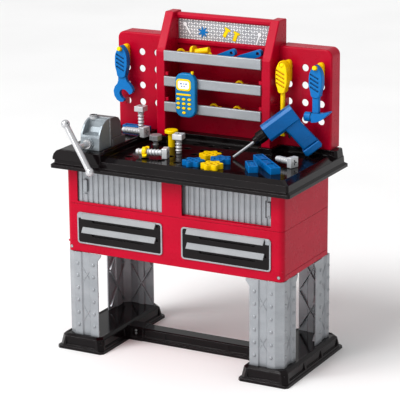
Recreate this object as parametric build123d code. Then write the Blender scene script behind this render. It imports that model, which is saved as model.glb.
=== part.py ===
from build123d import *
import os
from math import sin, cos, tan, radians, degrees, pi, sqrt, atan2

# Toy workbench for a small child: a red two-tier cabinet on four silver
# corner legs, a glossy black worktop with a peg-hole tray, a toy vise, and a
# red pegboard and toolbox back wall carrying toy tools.
# Millimetres.  +X is the child's right, +Y is the back, +Z is up.  The origin
# is on the floor under the middle of the whole object.

os.makedirs("parts", exist_ok=True)

# ---------------------------------------------------------------- dimensions
Y_SHIFT = 8.0            # moves the drawing's Y zero to the middle of the object

FOOT_X0, FOOT_X1 = 209.5, 357.8
FOOT_Y0, FOOT_Y1 = -176.0, 189.0
FOOT_H = 42.4
BAR_Y0, BAR_Y1, BAR_H = -25.0, 31.0, 36.0

LEG_X0, LEG_X1 = 234.0, 331.0      # inner edge and outer plane of a leg
LEG_WALL = 3.5
LEG_FRONT = -151.0
LEG_BACK = 161.0
LEG_FRONT_END = -67.0              # end of the side flange, front legs
LEG_BACK_END = 60.0                # end of the side flange, rear legs
RIVET_Z = (71.0, 107.0, 143.0, 179.0, 215.0, 250.0)

CAB_X, CAB_Y = 330.0, 147.0        # half width and half depth
CAB_R = 15.0
CAB_Z0, CAB_SEAM, CAB_Z1 = 282.0, 420.5, 529.0
CAB_WALL = 4.0
WALL_IN = 4.01               # tracks stop just inside the side walls

DRAWER_X0, DRAWER_X1 = 31.0, 294.0
DRAWER_Z0, DRAWER_Z1 = 310.0, 396.0
DRAWER_TRAVEL = 150.0

DOOR_X0, DOOR_X1 = 30.0, 295.0
DOOR_Z0, DOOR_Z1 = 427.0, 519.0

TOP_X, TOP_Y0, TOP_Y1 = 361.7, -178.7, 197.0
TRAY_Z, RIM_Z, DECK_Z = 558.0, 562.0, 575.5
PEG_R = 10.4                       # tray peg holes
PEG_COLS = (-157.0, -107.0, -57.0, -7.0, 43.0, 93.0)
PEG_ROWS = (-99.0, -49.5, 0.0, 49.5, 99.0)

WING_X0, WING_X1 = 176.0, 331.0
WING_Y0, WING_Y1 = 148.0, 201.0
WING_Z0, WING_Z1 = 574.0, 848.0
BOARD_R = 10.0                     # pegboard holes
BOARD_COLS = (205.0, 253.0, 301.0)
BOARD_ROWS = (650.0, 698.0, 746.0, 794.0)

POST_X0, POST_X1 = 149.0, 176.0
POST_Y0, POST_Y1 = 90.0, 190.0
POST_TOP = 916.0
RAILS = ((646.0, 674.0), (718.0, 746.0), (789.0, 818.5))

HOOK_TILT = 15.0                   # degrees the tool pegs rise forwards
HOOK_R = 6.3
TOOL_HOLE_R = 7.0

BOLT_R, BOLT_ROOT = 9.3, 7.4
BOLT_HEAD = 28.5

VISE_X0, VISE_X1 = -281.0, -221.0
VISE_AX, VISE_AZ = -254.0, 594.5   # spindle axis
CRANK_Y = -205.0

DRILL_TILT = 36.0
DRILL_TIP = (107.6, 3.7, 562.0)
DRILL_DIR = (0.845, 0.535)


# ------------------------------------------------------------------- helpers
def bx(x0, x1, y0, y1, z0, z1):
    return Pos((x0 + x1) / 2, (y0 + y1) / 2, (z0 + z1) / 2) * Box(
        abs(x1 - x0), abs(y1 - y0), abs(z1 - z0))


def soft(shape, edges, r):
    """Round the edges; step the radius down where the shape won't take it."""
    edges = list(edges)
    if not edges:
        return shape
    for k in (1.0, 0.7, 0.45, 0.25):
        try:
            out = fillet(edges, r * k)
            if out.is_valid and out.volume > 0:
                return out
        except Exception:
            pass
    return shape


def rbx(x0, x1, y0, y1, z0, z1, r, axis=Axis.Z):
    b = bx(x0, x1, y0, y1, z0, z1)
    return soft(b, b.edges().filter_by(axis), r)


def cz(x, y, z0, z1, r):
    return Pos(x, y, (z0 + z1) / 2) * Cylinder(r, z1 - z0)


def cy(x, z, y0, y1, r):
    return Pos(x, (y0 + y1) / 2, z) * Rot(90, 0, 0) * Cylinder(r, y1 - y0)


def cx(y, z, x0, x1, r):
    return Pos((x0 + x1) / 2, y, z) * Rot(0, 90, 0) * Cylinder(r, x1 - x0)


def flat(pts):
    return Polygon(*pts, align=None)


def pz(pts, z0, z1):
    return extrude(Pos(0, 0, z0) * flat(pts), z1 - z0, dir=(0, 0, 1))


def py(pts, y0, y1):
    """Outline in X-Z, drawn out along Y."""
    f = Plane(origin=(0, y0, 0), x_dir=(1, 0, 0), z_dir=(0, -1, 0)) * flat(pts)
    return extrude(f, y1 - y0, dir=(0, 1, 0))


def px(pts, x0, x1):
    """Outline in Y-Z, drawn out along X."""
    f = Plane(origin=(x0, 0, 0), x_dir=(0, 1, 0), z_dir=(1, 0, 0)) * flat(pts)
    return extrude(f, x1 - x0, dir=(1, 0, 0))


def octo(x0, x1, y0, y1, c):
    return [(x0 + c, y0), (x1 - c, y0), (x1, y0 + c), (x1, y1 - c),
            (x1 - c, y1), (x0 + c, y1), (x0, y1 - c), (x0, y0 + c)]


def layer(p0, z0, p1, z1):
    return loft([Pos(0, 0, z0) * flat(p0), Pos(0, 0, z1) * flat(p1)], ruled=True)


def spline_face(pts):
    """Closed smooth outline in local XY."""
    e = Spline(*pts, periodic=True)
    return make_face(e)


def mx(shape):
    return mirror(shape, Plane.YZ)


def fuse(a, items):
    items = list(items)
    return a.fuse(*items) if items else a


PARTS = {}


def put(name, shape):
    solids = [q.moved(Location((0, Y_SHIFT, 0))) for q in shape.solids()]
    PARTS[name] = Compound(children=solids) if len(solids) > 1 else solids[0]


# --------------------------------------------------------------- foot rails
def foot():
    x0, x1, y0, y1 = FOOT_X0, FOOT_X1, FOOT_Y0, FOOT_Y1

    def ring(i, c):
        return octo(x0 + i, x1 - i, y0 + i, y1 - i, c)

    s = layer(ring(0, 8), 0, ring(0.8, 8), 7.5)
    s += layer(ring(4.5, 13), 7.5, ring(9.5, 14), 36)
    s += layer(ring(9.5, 14), 36, ring(16, 14), FOOT_H)
    s -= layer(ring(21, 5), FOOT_H - 1.6, ring(21, 5), FOOT_H + 1)
    cuts = [bx(x0 + 27, x1 - 27, y0 - 5, y0 + 9.8, 12.5, 33),
            bx(x0 + 27, x1 - 27, y1 - 9.8, y1 + 5, 12.5, 33)]
    n = 3
    a, b, gap = y0 + 27, y1 - 27, 9.0
    w = (b - a - gap * (n - 1)) / n
    for i in range(n):
        ya = a + i * (w + gap)
        cuts.append(bx(x1 - 9.8, x1 + 5, ya, ya + w, 12.5, 33))
    cuts.append(bx(x0 - 5, x0 + 9.8, y0 + 27, BAR_Y0 - 14, 12.5, 33))
    cuts.append(bx(x0 - 5, x0 + 9.8, BAR_Y1 + 14, y1 - 27, 12.5, 33))
    for c in cuts:
        s -= c
    # ribbed underside
    for i in range(2):
        for j in range(4):
            xa = x0 + 14 + i * 62
            ya = y0 + 14 + j * 86
            s -= bx(xa, xa + 57, ya, ya + 79, -1, 33 if 0 < j < 3 else 30)
    return s


foot_r = foot()
foot_l = mx(foot_r)
put("right_foot_rail", foot_r)
put("left_foot_rail", foot_l)

# --------------------------------------------------------------- crossbar
b0, b1 = BAR_Y0, BAR_Y1
bar = px([(b0, 0), (b0, 7), (b0 + 4, 8.5), (b0 + 6, BAR_H - 3), (b0 + 9, BAR_H),
          (b1 - 9, BAR_H), (b1 - 6, BAR_H - 3), (b1 - 4, 8.5), (b1, 7), (b1, 0)], -221, 221)
for s in (-1, 1):
    end = px([(b0 - 2, 0), (b0 - 2, 8), (b0 + 1, 10), (b0 + 3, BAR_H - 1), (b0 + 6, BAR_H + 2),
              (b1 - 6, BAR_H + 2), (b1 - 3, BAR_H - 1), (b1 - 1, 10), (b1 + 2, 8), (b1 + 2, 0)], 168, 221)
    bar += end if s > 0 else mx(end)
    pocket = bx(180, 204, b0 - 5, b0 + 7.5, 13, 32)
    bar -= pocket if s > 0 else mx(pocket)
for xa, xb in ((-96, 96), (-160, -104), (104, 160)):
    bar -= bx(xa, xb, b0 - 5, b0 + 7.2, 13, 30)
    bar -= bx(xa, xb, b1 - 7.2, b1 + 5, 13, 30)
for i in range(5):
    xa = -205 + i * 83
    bar -= bx(xa, xa + 78, b0 + 9, b1 - 9, -1, 29)
bar -= foot_r
bar -= foot_l
for sx in (-1, 1):
    for z in (18.0, 27.0):
        bar -= cy(sx * 192.0, z, b0 + 6, b0 + 12.5, 1.7)
bar = max(bar.solids(), key=lambda q: q.volume)
put("foot_crossbar", bar)


def screw_head(x, y, z, r=4.2):
    """Pan head with a cross slot, facing -Y, its seat at y."""
    h = cy(x, z, y - 2.0, y, r)
    h = soft(h, h.faces().sort_by(Axis.Y)[0].edges(), 1.2)
    h += cy(x, z, y - 0.2, y + 3.5, 1.6)
    h -= bx(x - 2.4, x + 2.4, y - 3, y - 1.1, z - 0.5, z + 0.5)
    h -= bx(x - 0.5, x + 0.5, y - 3, y - 1.1, z - 2.4, z + 2.4)
    return h


bar_screws = [screw_head(sx * 192.0, b0 + 7.5, z, 3.8) for sx in (-1, 1) for z in (18.0, 27.0)]

# ------------------------------------------------------------------- legs
def leg(front=True):
    """Right-hand corner leg: an L-shaped channel with a bevelled corner."""
    x0, x1, t = LEG_X0, LEG_X1, LEG_WALL
    yo = LEG_FRONT if front else -LEG_BACK          # rear legs are drawn
    ye = LEG_FRONT_END if front else -LEG_BACK_END  # mirrored and flipped
    ys = yo + 14                                    # where the bevel meets the side
    ga, gb = ys + 16, ye - (22 if front else 40)    # groove in the side flange
    outer = [(x0, yo), (x0 + 25.5, yo), (x0 + 29, yo + 4), (x0 + 49, yo + 4), (x0 + 52.7, yo),
             (x0 + 75, yo), (x1, ys), (x1, ga), (x1 - 4, ga + 3), (x1 - 4, gb - 3), (x1, gb), (x1, ye)]
    inner = [(x1 - t, ye), (x1 - t, gb + 1.5), (x1 - t - 4, gb - 1.5), (x1 - t - 4, ga + 1.5),
             (x1 - t, ga - 1.5), (x1 - t, ys + 2), (x0 + 74, yo + t), (x0 + 51.5, yo + t),
             (x0 + 48, yo + t + 4), (x0 + 30, yo + t + 4), (x0 + 26.5, yo + t), (x0, yo + t)]
    s = pz(outer + inner, FOOT_H - 1.6, CAB_Z0)
    # gussets at the top inner edges
    s += py([(x0 + 1, CAB_Z0), (x0 - 11, CAB_Z0), (x0 - 11, CAB_Z0 - 5), (x0, CAB_Z0 - 20), (x0 + 1, CAB_Z0 - 20)],
            yo, yo + t)
    s += px([(ye - 1, CAB_Z0), (ye + 11, CAB_Z0), (ye + 11, CAB_Z0 - 5), (ye, CAB_Z0 - 20), (ye - 1, CAB_Z0 - 20)],
            x1 - t, x1)
    # crossed stiffening ribs inside
    for za, zb in ((52, 158), (164, 270)):
        for p, q in (((x0 + 4, za), (x0 + 70, zb)), ((x0 + 4, zb), (x0 + 70, za))):
            L = sqrt((q[0] - p[0]) ** 2 + (q[1] - p[1]) ** 2)
            a = degrees(atan2(q[1] - p[1], q[0] - p[0]))
            rib = Pos((p[0] + q[0]) / 2, yo + t + 3.5, (p[1] + q[1]) / 2) * Rot(0, -a, 0) * Box(L, 8.4, 2.4)
            s += rib
        for p, q in (((ys + 6, za), (ye - 4, zb)), ((ys + 6, zb), (ye - 4, za))):
            L = sqrt((q[0] - p[0]) ** 2 + (q[1] - p[1]) ** 2)
            a = degrees(atan2(q[1] - p[1], q[0] - p[0]))
            rib = Pos(x1 - t - 3.5, (p[0] + q[0]) / 2, (p[1] + q[1]) / 2) * Rot(a, 0, 0) * Box(8.4, L, 2.4)
            s += rib
    caps = []
    dome = [(0, -1.0), (5.3, -1.0), (5.1, 0.6), (4.2, 2.0), (2.4, 2.9), (0, 3.1)]
    cap_z = revolve(Plane.XZ * flat(dome), Axis.Z, 360)
    cap_y = Rot(90, 0, 0) * cap_z
    cap_x = Rot(0, 90, 0) * cap_z
    for z in RIVET_Z:
        caps += [Pos(x0 + 14.4, yo, z) * cap_y, Pos(x0 + 63.8, yo, z) * cap_y]
        caps += [Pos(x1, ys + 7, z) * cap_x, Pos(x1, gb + 10, z) * cap_x]
    s = fuse(s, caps)
    if not front:
        s = mirror(s, Plane.XZ)
    return s


leg_fr = leg(True)
leg_rr = leg(False)
put("leg_front_right", leg_fr)
put("leg_front_left", mx(leg_fr))
put("leg_rear_right", leg_rr)
put("leg_rear_left", mx(leg_rr))

# ----------------------------------------------------------- lower cabinet
def shell_box(z0, z1, floor):
    o = rbx(-CAB_X, CAB_X, -CAB_Y, CAB_Y, z0, z1, CAB_R)
    w = CAB_WALL
    i = rbx(-CAB_X + w, CAB_X - w, -CAB_Y + w, CAB_Y - w, z0 + floor, z1 + 1, CAB_R - w)
    return o - i


lower = shell_box(CAB_Z0, CAB_SEAM - 0.7, 4)
lower = soft(lower, lower.faces().sort_by(Axis.Z)[0].outer_wire().edges(), 2.5)
lower += bx(-2, 2, -CAB_Y + 2, CAB_Y - 2, CAB_Z0 + 2, CAB_SEAM - 0.7)
for s in (-1, 1):
    for xa, xb in ((1, 62), (263, CAB_X - 2)):
        ledge = bx(xa, xb, -CAB_Y + 2, 100, 308.5, 312.2)
        web = bx(xb - 3 if xa < 5 else xa, xb if xa < 5 else xa + 3, -CAB_Y + 2, 100, CAB_Z0 + 2, 309)
        lower += ledge if s > 0 else mx(ledge)
        lower += web if s > 0 else mx(web)
    hole = rbx(DRAWER_X0, DRAWER_X1, -CAB_Y - 5, -CAB_Y + 12, DRAWER_Z0, DRAWER_Z1, 5, Axis.Y)
    lower -= hole if s > 0 else mx(hole)
    # side panel outline
    for g in (bx(CAB_X - 0.8, CAB_X + 1, -CAB_Y + 9, CAB_Y - 9, 297.5, 299),
              bx(CAB_X - 0.8, CAB_X + 1, -CAB_Y + 9, -CAB_Y + 10.5, 299, CAB_SEAM)):
        lower -= g if s > 0 else mx(g)
    sc = cy(317.5, 295, -CAB_Y - 1, -CAB_Y + 1.2, 5.2)
    lower -= sc if s > 0 else mx(sc)
    lower -= cy(s * 317.5, 295, -CAB_Y - 1, -CAB_Y + 6, 1.7)
put("lower_cabinet", lower)
cab_screws = [screw_head(sx * 317.5, -CAB_Y + 1.2, 295.0, 4.4) for sx in (-1, 1)]

# ----------------------------------------------------------- upper cabinet
upper = shell_box(CAB_SEAM, CAB_Z1, 4)
upper += bx(-2, 2, -121, CAB_Y - 2, CAB_SEAM + 2, CAB_Z1)
# bottom and top sliding tracks for two doors that pass each other
tracks = [bx(-CAB_X + WALL_IN, CAB_X - WALL_IN, -142.9, -124.6, 523.6, 527)]
for y0_, y1_ in ((-136.4, -134.2), (-126.6, -124.6)):
    tracks.append(bx(-CAB_X + WALL_IN, CAB_X - WALL_IN, y0_, y1_, CAB_SEAM + 4, 428.6))
    tracks[0] += bx(-CAB_X + WALL_IN, CAB_X - WALL_IN, y0_, y1_, 519.5, 524)
tracks = [q & rbx(-CAB_X + 4.01, CAB_X - 4.01, -CAB_Y + 4.01, CAB_Y, CAB_SEAM + 4, CAB_Z1, CAB_R - 4) for q in tracks]
put("door_tracks", Compound(children=[q_ for q in tracks for q_ in q.solids()]))
for s in (-1, 1):
    hole = rbx(DOOR_X0, DOOR_X1, -CAB_Y - 5, -CAB_Y + 6.2, DOOR_Z0, DOOR_Z1, 3, Axis.Y)
    upper -= hole if s > 0 else mx(hole)
    for g in (bx(CAB_X - 0.8, CAB_X + 1, -CAB_Y + 9, -CAB_Y + 10.5, CAB_SEAM, 520),):
        upper -= g if s > 0 else mx(g)
put("upper_cabinet", upper)


# ------------------------------------------------------------------ doors
def door(xa, xb, y_slab_front, slab, rib, n_x0, n_x1, pitch=16.6, gap=4.4):
    """Ribbed slab: one cross-section in X-Y drawn up through its height."""
    pts = [(xa, y_slab_front + slab), (xa, y_slab_front)]
    n = int(round((n_x1 - n_x0) / pitch))
    pitch = (n_x1 - n_x0) / n
    w = (pitch - gap) / 2
    for i in range(n):
        c = n_x0 + pitch * (i + 0.5)
        pts.append((c - w, y_slab_front))
        for k in range(1, 6):
            t = pi * k / 6
            pts.append((c - w * cos(t), y_slab_front - rib * sin(t) ** 0.6))
        pts.append((c + w, y_slab_front))
    pts += [(xb, y_slab_front), (xb, y_slab_front + slab)]
    return pz(pts, CAB_SEAM + 4.5, 523.0)


LEFT_SLAB_F, RIGHT_SLAB_F = -139.6, -130.4
ld = door(-301, -24, LEFT_SLAB_F, 2.6, 3.0, -296, -29)
tab = rbx(-276.5, -264.5, LEFT_SLAB_F - 7.0, LEFT_SLAB_F + 0.5, 455, 491, 3, Axis.Y)
tab = soft(tab, tab.faces().sort_by(Axis.Y)[0].edges(), 1.8)
ld -= bx(-280, -261, LEFT_SLAB_F - 4, LEFT_SLAB_F, 449, 497)
ld += tab
put("left_door", ld)
rd = door(24, 301, RIGHT_SLAB_F, 2.6, 3.0, 29, 296)
rd -= bx(272.5, 291.5, RIGHT_SLAB_F - 4, RIGHT_SLAB_F, 449, 497)
tab = rbx(276, 288, RIGHT_SLAB_F - 5.2, RIGHT_SLAB_F + 0.5, 455, 493, 3, Axis.Y)
tab = soft(tab, tab.faces().sort_by(Axis.Y)[0].edges(), 1.8)
rd += tab
put("right_door", rd)


# ---------------------------------------------------------------- drawers
def drawer(right=True):
    s = 1 if right else -1
    # black front and tray
    f = rbx(DRAWER_X0 + 0.8, DRAWER_X1 - 0.8, -149.0, -141.5, DRAWER_Z0 + 0.8, DRAWER_Z1 - 0.8, 5, Axis.Y)
    for z in (330.5, 371.0):
        f -= py([(80, z + 9), (86, z), (248, z), (254, z + 9)], -150, -144.5)
    t = 3.0
    box = bx(42, 283, -142, 100, 313, 372) - bx(42 + t, 283 - t, -142 + 0.0, 100 - t, 313 + t, 373)
    f = f + box
    # silver outline frame with a small corner block
    fr = rbx(29.3, 295.7, -150.0, -147.4, 308.3, 397.7, 9, Axis.Y)
    fr -= rbx(33.6, 291.4, -151.0, -146.0, 312.4, 393.6, 6, Axis.Y)
    fr += bx(279.5, 292.5, -150.4, -149.0, 381.5, 395.0)
    fr -= f
    # two tilted pull bars
    bars = []
    for zt, zb in ((396.0, 381.5), (356.5, 341.5)):
        p = px([(-149.0, zt), (-151.5, zt), (-160.5, zb + 1.5), (-160.0, zb), (-158.4, zb), (-149.0, zt - 5.0)], 48, 277.5)
        p = soft(p, [e for e in p.edges().filter_by(Axis.X) if e.center().Y < -155], 0.9)
        bars.append(p)
    bar_ = Compound(children=bars)
    fr2 = fr
    for b_ in bars:
        fr2 = fr2 - b_
    if right:
        return f, fr2, bars
    return mx(f), mx(fr2), [mx(b_) for b_ in bars]


for side, right in (("right", True), ("left", False)):
    f, fr, bars = drawer(right)
    put(side + "_drawer_box", f)
    put(side + "_drawer_frame", fr)
    put(side + "_drawer_pulls", Compound(children=bars))

put("frame_screws", Compound(children=bar_screws + cab_screws))

# ---------------------------------------------------------------- worktop
def top_ring(i, c=6.0):
    return octo(-TOP_X + i, TOP_X - i, TOP_Y0 + i, TOP_Y1 - i, c)


top = layer(top_ring(0, 5), 522, top_ring(0, 5), 530.5)
top += layer(top_ring(0, 5), 530.5, top_ring(6.5, 5), 535)
top += layer(top_ring(7.2, 5), 535, top_ring(8.2, 5), 553)
top += layer(top_ring(8.2, 5), 553, top_ring(29, 8), RIM_Z)
# raised back shelf that carries the back wall
top += layer(octo(-352, 352, 141, 189, 6), 553, octo(-349, 349, 142, 188, 6), 574)
for s in (-1, 1):
    q = rbx(140, 185, 84, 150, 553, 574, 5)
    top += q if s > 0 else mx(q)
# tray recess
tray = layer(octo(-203, 330, TOP_Y0 + 31, 141, 6), TRAY_Z, octo(-204, 331.5, TOP_Y0 + 29.5, 142, 6), RIM_Z + 0.02)
tray -= bx(140, 185, 84, 200, 550, 580)
tray -= bx(-185, -140, 84, 200, 550, 580)
top -= tray
# hollow underside, with a ring that sits on the cabinet walls
under = bx(-TOP_X + 13, TOP_X - 13, TOP_Y0 + 13, TOP_Y1 - 13, 520, 553)
keep = rbx(-CAB_X, CAB_X, -CAB_Y, CAB_Y, CAB_Z1, 554, CAB_R) - rbx(-CAB_X + 5, CAB_X - 5, -CAB_Y + 5, CAB_Y - 5, CAB_Z1 - 2, 555, CAB_R - 5)
for xr in (-282, -232, -132, -82, 18, 68, 118, 198, 262):
    keep += bx(xr - 1.5, xr + 1.5, -CAB_Y + 3, CAB_Y - 3, CAB_Z1 + 1, 554)
for yr in (-73.5, -24, 25.5, 75):
    keep += bx(-CAB_X + 3, CAB_X - 3, yr - 1.5, yr + 1.5, CAB_Z1 + 1, 554)
top = top - (under - keep)
pegs = [cz(x, y, 545, 570, PEG_R) for x in PEG_COLS for y in PEG_ROWS]
top = top.cut(*pegs)
for x in (168.0, -158.0):
    top -= px([(-180, 535), (-172.0, 535), (-170.4, 553), (-150.0, 561.4), (-150, 570), (-180, 570)], x - 0.7, x + 0.7) & bx(
        x - 2, x + 2, -180, -140, 530, 566)
put("worktop", top)

# ------------------------------------------------------------ vise platform
plat = py([(-355, 545), (-355, 552), (-351, 562), (-343, 570.5), (-332, DECK_Z), (-207, DECK_Z),
           (-203.5, 572), (-203.5, 545)], -173.5, 140.5)
plat = soft(plat, [e for e in plat.edges().filter_by(Axis.X) if e.center().Y < -170 and e.center().Z > 560], 3)
ridge = rbx(-210.5, -204.5, -150, 84, DECK_Z - 2, DECK_Z + 4.0, 2.0, Axis.Y)
plat += ridge
plat -= top
plat -= bx(-204, -203.4, -200, 200, 500, 556)
plat = max(plat.solids(), key=lambda q: q.volume)
put("vise_platform", plat)


# ----------------------------------------------------------- back wall wings
def wing():
    x0, x1, z0, z1 = WING_X0, WING_X1, WING_Z0, WING_Z1
    o = bx(x0, x1, WING_Y0, WING_Y1, z0, z1)
    o = soft(o, [e for e in o.edges().filter_by(Axis.Y) if e.center().X > x1 - 1 and e.center().Z > z1 - 1], 20)
    i = bx(x0 + 4, x1 - 4, WING_Y0 + 4, WING_Y1 + 2, z0 + 4, z1 - 4)
    i = soft(i, [e for e in i.edges().filter_by(Axis.Y) if e.center().X > x1 - 6 and e.center().Z > z1 - 6], 16)
    s = o - i
    front = [e for e in s.edges() if abs(e.center().Y - WING_Y0) < 0.01 and
             (e.center().X > x1 - 21 or e.center().Z > z1 - 1) and e.center().Z > z0 + 1]
    s = soft(s, front, 5)
    # back flange stiffener, and sockets round each peg hole
    holes = []
    for x in BOARD_COLS:
        for z in BOARD_ROWS:
            holes.append(cy(x, z, WING_Y0 - 3, WING_Y0 + 8, BOARD_R))
    s = s.cut(*holes)
    return s


wr = wing()
put("backboard_right", wr)
put("backboard_left", mx(wr))

# ----------------------------------------------------------- toolbox frame
post = px([(POST_Y0, 574), (POST_Y0, 814), (97, 822), (146, POST_TOP), (POST_Y1, POST_TOP), (POST_Y1, 574)],
          POST_X0, POST_X1)
post = soft(post, [e for e in post.edges() if e.center().Z > 800 or e.center().Y < POST_Y0 + 0.1], 3)
for za, zb in ((570, 648), (652, 728), (732, 808)):
    post -= bx(POST_X0 + 4, POST_X1 - 4, POST_Y0 + 7, POST_Y1 - 7, za, zb)
box_ = post + mx(post)
box_ += bx(-POST_X0 - 0.5, POST_X0 + 0.5, 172, 176, 574, 897)
box_ += px([(166, 826), (166, 835), (172.5, 838), (172.5, 822)], -POST_X0 - 0.5, POST_X0 + 0.5)
for s in (-1, 1):
    for zr in (RAILS[0], RAILS[1]):
        clip = rbx(139.5, POST_X0 + 0.5, 93, 103, zr[1] + 1.5, zr[1] + 11, 2.5, Axis.Z)
        box_ += clip if s > 0 else mx(clip)
box_ = box_.clean() if hasattr(box_, "clean") else box_
put("toolbox_frame", box_)

handle = px([(163, 898), (163, 906), (168, 912), (180, 912), (184, 906), (184, 898), (180, 897.2), (168, 897.2)],
            -POST_X0 + 0.0, POST_X0 - 0.0)
handle = soft(handle, handle.edges().filter_by(Axis.X), 1.5)
handle -= box_
put("toolbox_handle_bar", handle)

shelves, rails = [], []
for z0_, z1_ in RAILS:
    sh = bx(-POST_X0, POST_X0, 92, 172, z0_ - 1, z0_ + 2)
    sh += bx(-POST_X0, POST_X0, 92, 94.5, z0_ - 1, z1_ - 6)
    sh += bx(-POST_X0, POST_X0, 169.5, 172, z0_ - 1, z0_ + 14)
    sh = sh - box_
    shelves.append(sh)
    r = bx(-POST_X0 + 0.2, POST_X0 - 0.2, 85.5, 92, z0_, z1_)
    r = soft(r, [e for e in r.edges().filter_by(Axis.X) if e.center().Y < 86], 2.8)
    rails.append(r)
put("shelf_trays", Compound(children=[q for s_ in shelves for q in s_.solids()]))
put("shelf_rails", Compound(children=[q for s_ in rails for q in s_.solids()]))
put("tread_plate_label", bx(-147.5, 147.5, 171.2, 172, 838.5, 893.5))


# ------------------------------------------------------------- tool hooks
def hook(x, z):
    """Yellow hook block with a plug into a board hole and a rising peg."""
    b = rbx(x - 9, x + 9, 136, 147.8, z - 42, z + 20, 8.5, Axis.Y)
    b = soft(b, b.faces().sort_by(Axis.Y)[0].edges(), 2.0)
    b += cy(x, z, 146, 154, BOARD_R - 0.6)
    peg = Pos(x, 148, z) * Rot(90 - HOOK_TILT, 0, 0) * Pos(0, 0, 26) * Cylinder(HOOK_R, 50)
    tip = peg.faces().sort_by(Axis.Y)[0].edges()
    peg = soft(peg, tip, 2.0)
    b += peg
    b -= bx(x - 15, x + 15, 154, 190, z - 40, z + 40)
    return b


HOOKS = {"wrench": (-301.0, 794.0), "screwdriver": (205.0, 794.0), "hammer": (301.0, 794.0)}
put("tool_hooks", Compound(children=[s_ for k, (hx, hz) in HOOKS.items() for s_ in hook(hx, hz).solids()]))


def hook_bore(x, z, r=TOOL_HOLE_R):
    """Clearance hole that lets a tool slide off along its peg."""
    return Pos(x, 148, z) * Rot(90 - HOOK_TILT, 0, 0) * Pos(0, 0, 40) * Cylinder(r, 110)


def grip(x, yc, depth, top_z, prof):
    """Swollen flat handle: half widths down its length, with twist grooves."""
    right = [(x + w, z) for z, w in prof]
    left = [(x - w, z) for z, w in reversed(prof)]
    pts = [(x, top_z)] + right + left
    e = Spline(*[(p[0], p[1]) for p in pts], periodic=True)
    face = Plane(origin=(0, yc - depth / 2, 0), x_dir=(1, 0, 0), z_dir=(0, -1, 0)) * make_face(e)
    g = extrude(face, depth, dir=(0, 1, 0))
    g = soft(g, [q for q in g.edges() if abs(q.center().Y - (yc - depth / 2)) < 0.2 or abs(q.center().Y - (yc + depth / 2)) < 0.2], depth * 0.3)
    for k in range(4):
        zc = top_z - 30 - 11.5 * k
        g -= Pos(x - 2.0, yc - depth / 2, zc) * Rot(0, 26, 0) * Box(27, 5.6, 4.6)
    return g


GRIP = [(811 - 6, 9.5), (790, 17.5), (769, 19.6), (750, 18.2), (737, 14.5), (727, 12.0)]

# wrench, hanging on the left hook
WX, WY = -300.0, 118.0
wrench = grip(WX, WY, 20, 813.5, GRIP)
jaw_pts = [(-11.5, 735), (-11.5, 713), (-15, 704), (-23, 695), (-27.5, 682), (-25, 668), (-17, 657), (-7, 651.8),
           (2.5, 652.5), (6.5, 658.9), (-1, 663.5), (-6, 669.7), (-8.5, 677), (-5.7, 685.3), (2, 689), (10.7, 688),
           (18, 682), (23.9, 675), (32, 680), (35.5, 688), (31, 698), (24, 706), (16.5, 712.5), (13, 720), (12, 735)]
jaw = py([(WX + a, b) for a, b in jaw_pts], WY - 6, WY + 6)
jaw = soft(jaw, jaw.edges().filter_by(Axis.Y), 3.0)
wrench += jaw
wrench -= hook_bore(*HOOKS["wrench"])
put("toy_wrench", wrench)

# hammer, hanging on the outer right hook
HX, HY = 301.0, 116.0
hammer = grip(HX, HY, 20, 812, GRIP)
shaft = rbx(HX - 10.2, HX + 10.2, HY - 7, HY + 7, 668, 735, 4, Axis.Z)
head = cx(HY, 669, 268, 287, 13)
head = soft(head, head.faces().sort_by(Axis.X)[0].edges(), 2.5)
head -= cx(HY, 669, 260, 270.5, 9.0)
head += cx(HY, 669, 285, 292, 11)
claw = py([(290, 681), (320, 682), (341.5, 688.5), (343, 686), (334, 676.5), (318, 663.5), (306, 657.5), (290, 655)], HY - 11, HY + 11)
claw = soft(claw, claw.edges().filter_by(Axis.Y), 1.5)
claw -= py([(322, 700), (346, 700), (346, 660), (322, 660)], HY - 2.4, HY + 2.4)
hammer = hammer + shaft + head + claw
hammer -= hook_bore(*HOOKS["hammer"])
put("toy_hammer", hammer)

# screwdriver, hanging on the inner right hook
SX, SY = 204.0, 111.0
sprof = [(808, 10.5), (790, 16.5), (765, 17.2), (748, 15.0), (738, 11.5), (731, 9.5)]
sd = grip(SX, SY, 25, 816, sprof)
sd += Pos(SX, SY, 0) * Pos(0, 0, 680) * Cylinder(6.5, 116)
sd += pz([(SX - 6.5, SY - 2), (SX + 6.5, SY - 2), (SX + 6.5, SY + 2), (SX - 6.5, SY + 2)], 608, 626)
sd -= hook_bore(*HOOKS["screwdriver"])
put("toy_screwdriver", sd)

# ------------------------------------------------------------------ phone
PX0, PX1, PZ0, PZ1, PYF, PYB = -106.0, -43.0, 638.6, 763.0, 70.5, 85.1
ph = Plane(origin=((PX0 + PX1) / 2, PYB, (PZ0 + PZ1) / 2), x_dir=(1, 0, 0), z_dir=(0, -1, 0)) * RectangleRounded(
    PX1 - PX0, PZ1 - PZ0, 23)
ph = extrude(ph, PYB - PYF, dir=(0, -1, 0))
ph = soft(ph, ph.faces().sort_by(Axis.Y)[0].edges(), 4.5)
ph = soft(ph, ph.faces().sort_by(Axis.Y)[-1].edges(), 2.0)
clip = bx(-88, -61, 84.5, 99.5, 746.5, 750.0) + bx(-88, -61, 96.6, 99.5, 738, 750.0)
ph += clip
bez = Plane(origin=(-78.9, PYF + 1.2, 730.4), x_dir=(1, 0, 0), z_dir=(0, -1, 0)) * RectangleRounded(45.5, 33, 10)
bez = extrude(bez, 2.2, dir=(0, -1, 0))
bez = soft(bez, bez.faces().sort_by(Axis.Y)[0].edges(), 0.8)
scr = Plane(origin=(-78.9, PYF + 1.2, 730.4), x_dir=(1, 0, 0), z_dir=(0, -1, 0)) * RectangleRounded(35.5, 23, 6.5)
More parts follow.
